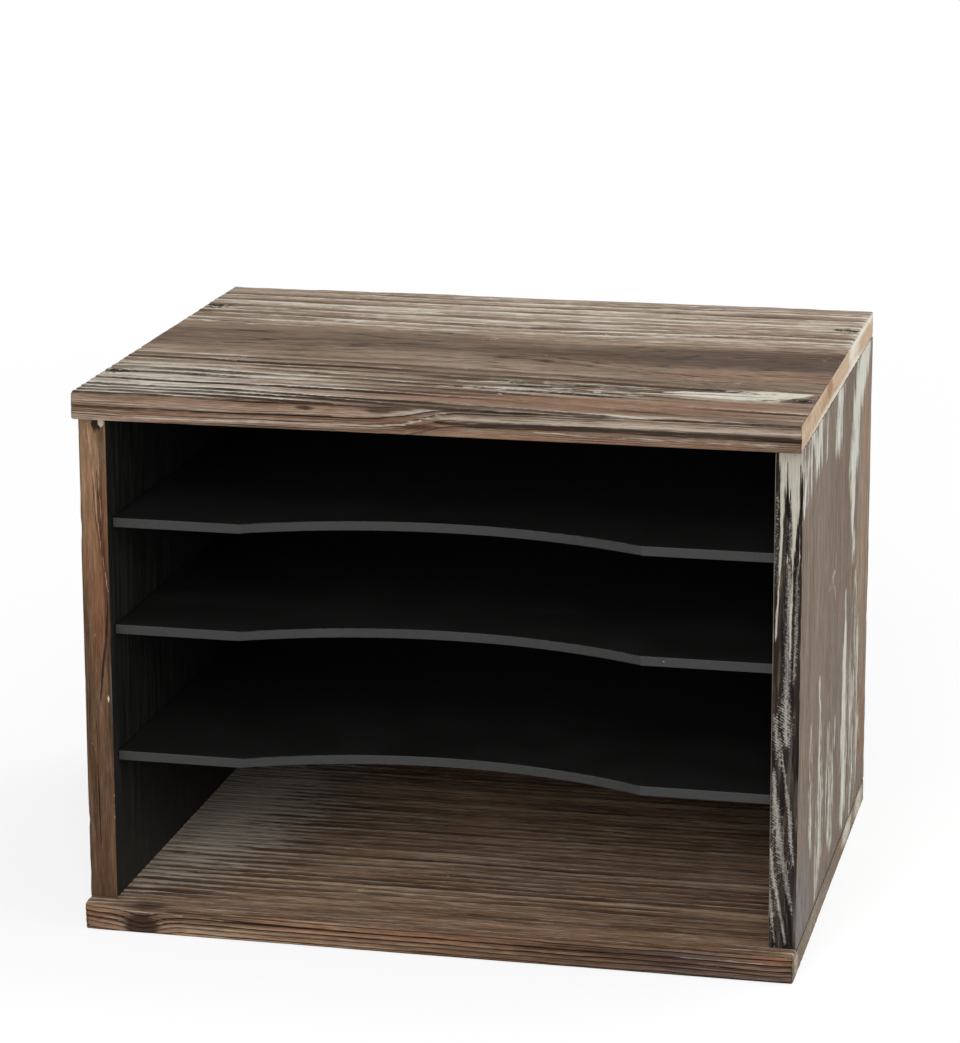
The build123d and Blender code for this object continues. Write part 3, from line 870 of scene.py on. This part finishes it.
left_board = Board(
    name="left_side", grain=2, through=0, pith=(-60, -205), growth=[(400, 4.4)], relief=0.45, seed=37,
    calm=((0, 1), (2, 1), (2, -1)), rounding=0.8, arrises=(2,),
    spots=[
        ("tone", (-173, STILE, 250), (12, 4, 75), 0.8),
        ("tone", (-173, STILE, 60), (12, 4, 90), -0.22),
        ("warm", (-171, STILE, 190), (7, 4, 60), 0.75),
        ("warm", (-169, STILE, 195), (1.6, 3, 12), 0.9),
        ("tone", (-170, STILE, 212), (1.8, 3, 26), -0.5),
        # Dark patch by the chip at the top: char and painted shade
        ("char_and_shade", (-170.6, STILE, 259.8), (3.2, 3, 4.6), 0.95),
        ("knot", (-169.5, STILE, 254), (4.0, 3, 7), 0.45),
        ("dent", (-168.8, STILE, 261), (2.0, 3, 2.4), 0.7),
        ("dent", (-166, STILE, 23.6), (1.6, 3, 1.4), 0.9),
        # Scraps of wash on the outer face
        ("wash", (LEFT, 60, 200), (3, 8, 70), 0.45),
        ("wash", (LEFT, -40, 60), (3, 9, 60), 0.4),
        ("wash", (LEFT, -95, 215), (3, 10, 45), 0.4),
        ("wash", (LEFT, 112, 80), (3, 7, 60), 0.4),
    ],
    strokes=[
        ("pale_line_and_highlight", 0.22, on(1, STILE, (-175.7, 262, 0.3), (-173.8, 246, 0.4), (-172.3, 231, 0.4),
                           (-171.4, 213, 0.4), (-169, 191, 0.35), (-166.5, 172, 0.25))),
        ("line", 0.3, on(1, STILE, (-174.4, 244, 0.2), (-173.0, 230, 0.3), (-172.2, 213, 0.3),
                         (-170.4, 196, 0.2))),
        ("line", 0.3, on(1, STILE, (-171, 236, 0.3), (-170.6, 222, 0.7), (-170.2, 203, 0.9),
                         (-168.8, 186, 0.4))),
        ("pale_line_and_highlight", 0.12, on(1, STILE, (-169.6, 252, 0.2), (-169.8, 228, 0.35), (-168.6, 200, 0.2))),
        ("line", 0.6, on(1, STILE, (-167, 168, 0.4), (-168.4, 150, 0.9), (-170.6, 132, 0.8),
                         (-172, 118, 0.3))),
        ("line", 0.6, on(1, STILE, (-174.5, 108, 0.3), (-174.2, 76, 0.6), (-173.8, 39, 0.4))),
        ("chip", 1.0, on(1, STILE, (-168.4, 262.3, 2.0), (-168.3, 259.4, 1.6))),
        ("chip", 0.9, on(1, STILE, (-167.9, 119.6, 0.5), (-167.9, 118.6, 0.5))),
        ("chip", 0.6, on(1, STILE, (-168.2, 178, 0.5), (-167.8, 176, 0.3))),
    ],
)
right_board = Board(
    name="right_side", grain=2, through=0, pith=(-60, 62), growth=[(400, 3.9)], relief=0.4, seed=41,
    calm=((0, -1), (2, 1), (2, -1)), rounding=0.8, arrises=(2,), lean=((0, 165, -1, 0.14),),
    spots=[
        # Saw ticks on the front edge: by the inner arris near the top, and across the middle
        ("saw", (167, STILE, 235), (1.6, 3, 34), 0.35),
        ("saw", (172, STILE, 126), (7, 3, 18), 0.7),
        ("saw", (168, STILE, 60), (3.5, 3, 40), 0.9),
        ("saw", (177, STILE, 75), (3, 3, 30), 0.5),
        ("warm", (168, STILE, 110), (3, 3, 60), 0.5),
        ("warm", (RIGHT, 22, 200), (3, 14, 80), 0.35),
        ("warm", (RIGHT, 118, 165), (3, 24, 90), 0.45),
        ("warm", (RIGHT, 120, 52), (3, 14, 30), 0.6),
        ("tone", (RIGHT, 116, 180), (3, 26, 110), 0.6),
        ("tone", (RIGHT, 20, 150), (3, 60, 200), -0.15),
        # Bluish grey at the foot of the board, and a thin wash round the streaks
        ("haze", (RIGHT, -112, 30), (3, 34, 34), 0.7),
        ("haze", (RIGHT, 30, 110), (3, 60, 50), 0.35),
        ("wash", (RIGHT, 0, 140), (3, EVERYWHERE, EVERYWHERE), -0.3),
        ("wash", (RIGHT, 88, 84), (3, 26, 66), 0.3),
        ("wash", (RIGHT, 40, 84), (3, 14, 66), 0.25),
        ("wash", (RIGHT, -14, 56), (3, 20, 34), 0.2),
        ("wash", (RIGHT, -80, 250), (3, 60, 24), 0.2),
        ("wash", (RIGHT, 74, 236), (3, 34, 44), 0.25),
        ("wash", (RIGHT, -2, 252), (3, 24, 20), 0.25),
    ],
    strokes=[
        # Front edge: cream paint at the top, running down in fingers
        ("paint", 1.5, on(1, STILE, (175.2, 272, 5.6), (175.2, 252, 5.2), (175.4, 243, 3.6),
                          (175.8, 234, 1.9), (176.0, 224, 0.8))),
        ("paint", 1.5, on(1, STILE, (170.4, 272, 2.4), (170.2, 252, 1.8), (170.0, 243, 1.3),
                          (169.9, 232, 1.0), (169.6, 216, 0.6))),
        ("paint", 0.5, on(1, STILE, (169.6, 222, 0.8), (169.0, 206, 0.6), (168.3, 190, 0.5),
                          (167.6, 168, 0.4))),
        ("paint", 0.4, on(1, STILE, (175.8, 226, 0.9), (175.3, 214, 0.7), (175.0, 203, 0.4))),
        ("paint", 0.3, on(1, STILE, (174.7, 200, 0.7), (174.4, 187, 1.1), (174.3, 172, 0.7),
                          (174.2, 162, 0.3))),
        ("paint", 0.6, on(1, STILE, (177.7, 240, 0.8), (178.2, 220, 0.6), (178.3, 211, 0.5),
                          (178.0, 202, 0.3))),
        ("smear", 0.45, on(1, STILE, (174.4, 238, 2.0), (174.4, 220, 2.6), (174.2, 204, 2.0))),
        ("split", 1.0, on(1, STILE, (172.0, 259, 0.15), (172.1, 249, 0.3), (172.3, 241, 0.6),
                          (172.7, 230, 1.0))),
        ("split", 0.5, on(1, STILE, (178.2, 258, 0.3), (178.4, 240, 0.5))),
        ("split", 0.9, on(1, STILE, (173.6, 246, 0.15), (173.6, 238, 0.4))),
        ("split", 0.8, on(1, STILE, (179.3, 252, 0.3), (179.0, 240, 0.5), (177.9, 228, 0.5),
                          (177.6, 205, 0.5))),
        # grey smears down the middle, and others lower down that lean outwards
        ("smear", 0.8, on(1, STILE, (173.6, 205, 1.6), (174.0, 180, 2.2), (173.6, 155, 2.4),
                          (172.8, 135, 2.4), (173.6, 118, 1.2))),
        ("smear", 0.6, on(1, STILE, (177.6, 214, 0.8), (177.6, 190, 1.2), (177.0, 170, 1.4),
                          (176.6, 150, 1.0))),
        ("smear", 0.2, on(1, STILE, (167.8, 240, 1.0), (167.6, 220, 1.3), (167.4, 195, 1.0))),
        ("smear", 0.5, on(1, STILE, (167.4, 132, 1.0), (169.4, 118, 1.8), (170.6, 106, 1.0))),
        ("smear", 0.95, on(1, STILE, (171.2, 114, 0.4), (173.2, 101, 0.9), (175.2, 84, 1.1),
                           (176.6, 68, 1.0), (178.2, 55, 0.5))),
        ("smear", 0.9, on(1, STILE, (167.4, 106, 0.8), (168.5, 90, 1.8), (170.4, 74, 2.4), (172.5, 59, 2.2),
                          (175.0, 45, 1.6), (177.8, 31, 0.7))),
        ("smear", 1.1, on(1, STILE, (166.4, 66, 0.6), (168.3, 50, 1.1), (170.7, 38, 1.2), (173.4, 23, 1.1),
                          (174.8, 15, 0.9))),
        ("paint", 0.6, on(1, STILE, (168.0, 51, 0.2), (170.5, 38, 0.4), (173.2, 23, 0.4),
                          (174.4, 16, 0.2))),
        ("smear", 0.8, on(1, STILE, (166.2, 46, 0.6), (167.6, 30, 1.0), (169.4, 15, 0.9))),
        ("chip", 1.0, on(1, STILE, (178.6, 149.5, 0.5), (178.6, 148.5, 0.4))),
        # Outer face: ragged streaks of whitewash
        ("paint", 1.1, on(0, RIGHT, (122, 264, 10), (100, 254, 16), (80, 247, 17), (74, 234, 17),
                          (74, 222, 17), (64, 213, 15), (65, 203, 13), (66, 194, 11), (65, 184, 8),
                          (66, 174, 4))),
        ("paint", 0.4, on(0, RIGHT, (71, 169, 7), (72, 163, 8))),
        ("paint", 0.5, on(0, RIGHT, (5, 262, 15), (0, 248, 16), (-3, 238, 8))),
        ("paint", 0.7, on(0, RIGHT, (-74, 264, 13), (-78, 253, 14), (-82, 243, 5))),
        ("paint", 0.4, on(0, RIGHT, (-96, 262, 18), (-104, 254, 18), (-117, 249, 12), (-124, 240, 8),
                          (-128, 234, 4))),
        ("paint", 0.3, on(0, RIGHT, (-46, 262, 5), (-48, 244, 5))),
        ("paint", 0.75, on(0, RIGHT, (42, 146, 3), (43, 126, 5), (43, 108, 8), (44, 95, 11), (43, 78, 12),
                           (43, 62, 12), (45, 43, 11), (42, 28, 9), (38, 22, 4))),
        ("paint", 0.05, on(0, RIGHT, (84, 138, 8), (85, 118, 12), (83, 98, 18), (83, 78, 20), (87, 58, 21),
                           (85, 40, 18), (74, 22, 9))),
        ("paint", 0.4, on(0, RIGHT, (-57, 128, 3), (-56, 106, 4), (-55, 90, 5), (-54, 80, 9), (-53, 66, 11),
                          (-55, 52, 12), (-56, 39, 11), (-60, 26, 9), (-66, 19, 4))),
        ("paint", 0.05, on(0, RIGHT, (-90, 112, 4), (-90, 88, 6), (-86, 66, 5), (-85, 48, 4))),
        ("paint", 0.0, on(0, RIGHT, (-17, 84, 9), (-16, 66, 12), (-14, 52, 13), (-12, 32, 10))),
        ("paint", 0.2, on(0, RIGHT, (5, 87, 3), (4, 78, 3))),
        # A forked scratch
        ("pale_line_and_highlight", 0.35, on(0, RIGHT, (-1, 214, 1.2), (-1, 192, 1.8), (-3, 172, 2.2), (-14, 170, 2),
                           (-30, 168, 1.2))),
        ("pale_line_and_highlight", 0.3, on(0, RIGHT, (-18, 172, 1), (-6, 162, 1.8), (1, 154, 1.8), (-2, 147, 1))),
        ("chip", 1.0, on(0, RIGHT, (-120, 181.4, 1.6), (-119, 180.6, 1.2))),
    ],
)

# Browns of the torched fir, from the darkest worn wood to the palest
TOP_BROWNS = ["4b3c31", "645346", "7f6d5c", "9c8b7b", "b8ad9e"]
FOOT_BROWNS = ["493528", "664d3c", "80644f", "997c64", "b2977b"]
LEFT_BROWNS = ["35261b", "4b3727", "614836", "7b5f47", "92765a"]
RIGHT_BROWNS = ["5c4f45", "6b5e52", "796b5f", "8a7c6e", "9c8e7f"]
CHAR_BROWNS = ["090706", "130f0e", "211b18", "362e29", "534b45"]

top_fir = torched_fir("torched_fir_top", ALONG_X, TOP_BROWNS, "c6c1b5", warm="85624d", char_and_shade="241b16",
                      groove="33281f", fine=1.0, crest_wash=0.55)
foot_fir = torched_fir("torched_fir_foot", ALONG_X, FOOT_BROWNS, "b9ae9f", warm="94664a", char_and_shade="241812",
                       groove="291c18", fine=0.7, crest_wash=0.65, deep=0.5)
left_fir = torched_fir("torched_fir_left", ALONG_Z, LEFT_BROWNS, "a68f74", warm="744b35", char_and_shade="160f0c",
                       groove="24170f", lines=0.5, fine=0.3, crest_wash=0.05, spread=0.7, pale_line_and_highlight="b08f72")
right_fir = torched_fir("washed_fir_right", ALONG_Z_COARSE, RIGHT_BROWNS, "cdcdc2", warm="8d6d55",
                        char_and_shade="4d4037", groove="4d4037", lines=0.15, fine=0.1, crest_wash=0.0, spread=0.7)
painted_edge = torched_fir("flaked_cream_paint_on_char", ALONG_Z, CHAR_BROWNS, "b6b1a2", warm="2c211c",
                           char_and_shade="0a0807", groove="0a0807", lines=0.7, fine=0.3, crest_wash=0.0, saw=True)
top_end = sawn_end("sawn_fir_end_top", "9a846e", "c0a78c", "d8c4aa", "ddd6c6")
foot_end = sawn_end("sawn_fir_end_foot", "5f5145", "7b6c5d", "9b8a75", "cbc7b6")
stain_x = black_stained_fir("black_stained_fir_top", ALONG_X)
stain_z = black_stained_fir("black_stained_fir_sides", ALONG_Z)

# The nails of the top and of the foot stand in line, so one set of places serves both
nail_low, nail_high = corners_mm("top_nails")
NAIL_HEAD_RADIUS = 1.5
nail_places = [(x, y) for x in (nail_low[0] + NAIL_HEAD_RADIUS, nail_high[0] - NAIL_HEAD_RADIUS)
               for y in (nail_low[1] + NAIL_HEAD_RADIUS, nail_high[1] - NAIL_HEAD_RADIUS)]

# Size of a mesh face along each axis, long with the grain and fine across it
TOP_STEPS = (4.0, 0.55, 0.9)
FOOT_STEPS = (4.0, 0.55, 0.7)
SIDE_STEPS = (0.45, 0.8, 4.0)
# The undersides stay whole as far as this from the middle
INSIDE = 160.0

dress_board(top_board, TOP_STEPS, top_rabbet,
            [(top_fir, None), (top_end, (1, 0, 0)), (top_end, (-1, 0, 0)), (stain_x, (0, 0, -1))],
            plain=[(2, top_low[2], INSIDE)], nails=nail_places)
dress_board(foot_board, FOOT_STEPS, foot_rabbet,
            [(foot_fir, None), (foot_end, (1, 0, 0)), (foot_end, (-1, 0, 0))],
            plain=[(2, FOOT, INSIDE)], nails=nail_places)
side_ends = [(2, left_low[2], EVERYWHERE), (2, left_high[2], EVERYWHERE)]
dress_board(left_board, SIDE_STEPS, left_rabbet, [(left_fir, None), (stain_z, (1, 0, 0))], plain=side_ends)
dress_board(right_board, SIDE_STEPS, right_rabbet,
            [(right_fir, None), (stain_z, (-1, 0, 0)), (painted_edge, (0, -1, 0))], plain=side_ends)

# Pieces whose CAD shape stays as it is
shelf_paint = black_painted_board("black_painted_fibreboard", "131312", "181817", "1a1a19", "272726")
panel_paint = black_painted_board("black_painted_back", "2c2c2b", "343432", "1e1e1d", "2e2e2d")
enamel = black_enamel("black_enamelled_pin")
steel = dull_steel("dull_nail_steel")
finishes = {
    shelf_paint: ["upper_shelf", "middle_shelf", "lower_shelf"],
    panel_paint: ["back_panel"],
    enamel: ["upper_shelf_pins", "middle_shelf_pins", "lower_shelf_pins"],
    steel: ["top_nails", "bottom_nails", "back_nails"],
}
for finish, names in finishes.items():
    for name in names:
        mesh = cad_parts[name].data
        mesh.materials.clear()
        mesh.materials.append(finish)

# Floor, light and camera

FLOOR_SIZE = 30.0
# The floor lies just under the box, so that the two faces don't meet
FLOOR_DROP = 0.0003


def looked_at(tree):
    """1 for rays from the camera, and for those that a glossy or clear surface passes on to it."""
    seen, glossy, clear = (add(tree, "LightPath", out=kind)
                           for kind in ("Is Camera Ray", "Is Glossy Ray", "Is Transmission Ray"))
    passed = total(tree, seen, (glossy, 1.0), (clear, 1.0))
    return add(tree, "Math", {0: passed, 1: 1.0}, operation="MINIMUM")


def white_floor():
    """Matt white paper floor, seen white by the camera but keeping the object's shadow."""
    bm = bmesh.new()
    bmesh.ops.create_grid(bm, x_segments=1, y_segments=1, size=FLOOR_SIZE / 2)
    mesh = bpy.data.meshes.new("floor")
    bm.to_mesh(mesh)
    bm.free()
    floor = bpy.data.objects.new("floor", mesh)
    floor.location.z = -FLOOR_DROP
    bpy.context.scene.collection.objects.link(floor)
    material, tree = new_tree("white_paper")
    paper = add(tree, "BsdfDiffuse", {"Color": colour("f2f2f2"), "Roughness": 1.0})
    glow = add(tree, "Emission", {"Color": (1, 1, 1, 1), "Strength": 1.0})
    # By the box a quarter of the floor is lit paper, which holds the shadow, and 1.5 m away it is all glow
    away = add(tree, "VectorMath", {0: add(tree, "TexCoord", out="Object")}, out="Value", operation="LENGTH")
    share = add(tree, "MapRange", {0: away, 1: 0.3, 2: 1.5, 3: 0.75, 4: 1.0})
    share = add(tree, "Math", {0: looked_at(tree), 1: share}, operation="MULTIPLY")
    mixed = add(tree, "MixShader", {0: share, 1: paper, 2: glow})
    add(tree, "OutputMaterial", {"Surface": mixed})
    mesh.materials.append(material)


def soft_box(name, place, target, size, watts):
    """A square studio soft box aimed at a point."""
    lamp = bpy.data.lights.new(name, "AREA")
    lamp.shape = "SQUARE"
    lamp.size = size
    lamp.energy = watts
    holder = bpy.data.objects.new(name, lamp)
    holder.matrix_world = Matrix.LocRotScale(
        Vector(place), (Vector(target) - Vector(place)).to_track_quat("-Z", "Y"), None)
    bpy.context.scene.collection.objects.link(holder)


def photo_camera():
    """The camera that sees the box as the photograph does, fitted to its edges."""
    photo_height = 1043
    focal_pixels = 3648.0
    centre_row = 417.5
    place = Vector((399.5, -1797.0, 657.7)) * MM
    yaw, pitch, roll = (math.radians(a) for a in (-12.733, -12.725, 0.181))
    camera = bpy.data.cameras.new("camera")
    camera.sensor_fit = "AUTO"
    camera.sensor_width = 36.0
    camera.lens = focal_pixels * camera.sensor_width / photo_height
    camera.shift_y = (centre_row - photo_height / 2) / photo_height
    camera.clip_end = 100.0
    holder = bpy.data.objects.new("camera", camera)
    aim = Matrix.Rotation(-yaw, 4, "Z") @ Matrix.Rotation(math.pi / 2 + pitch, 4, "X")
    holder.matrix_world = Matrix.Translation(place) @ aim @ Matrix.Rotation(-roll, 4, "Z")
    bpy.context.scene.collection.objects.link(holder)
    bpy.context.scene.camera = holder


def studio_sky():
    """A pale room round the box, which the camera sees as plain white."""
    world = bpy.data.worlds.new("studio")
    world.use_nodes = True
    studio = world.node_tree
    studio.nodes.clear()
    lit = 0.42
    sky = add(studio, "Math", {0: looked_at(studio), 1: 1.0 - lit, 2: lit}, operation="MULTIPLY_ADD")
    room = add(studio, "Background", {"Color": (1, 1, 1, 1), "Strength": sky})
    add(studio, "OutputWorld", {"Surface": room})
    bpy.context.scene.world = world


BOX_MIDDLE = (0.0, 0.0, 0.14)

white_floor()
soft_box("key", (0.7, 0.4, 1.9), BOX_MIDDLE, 1.0, 20.0)
soft_box("front", (0.1, -2.2, 1.2), BOX_MIDDLE, 1.4, 28.0)
soft_box("right", (2.0, -0.6, 0.8), BOX_MIDDLE, 1.0, 8.0)
studio_sky()
bpy.context.scene.view_settings.view_transform = "Standard"
photo_camera()
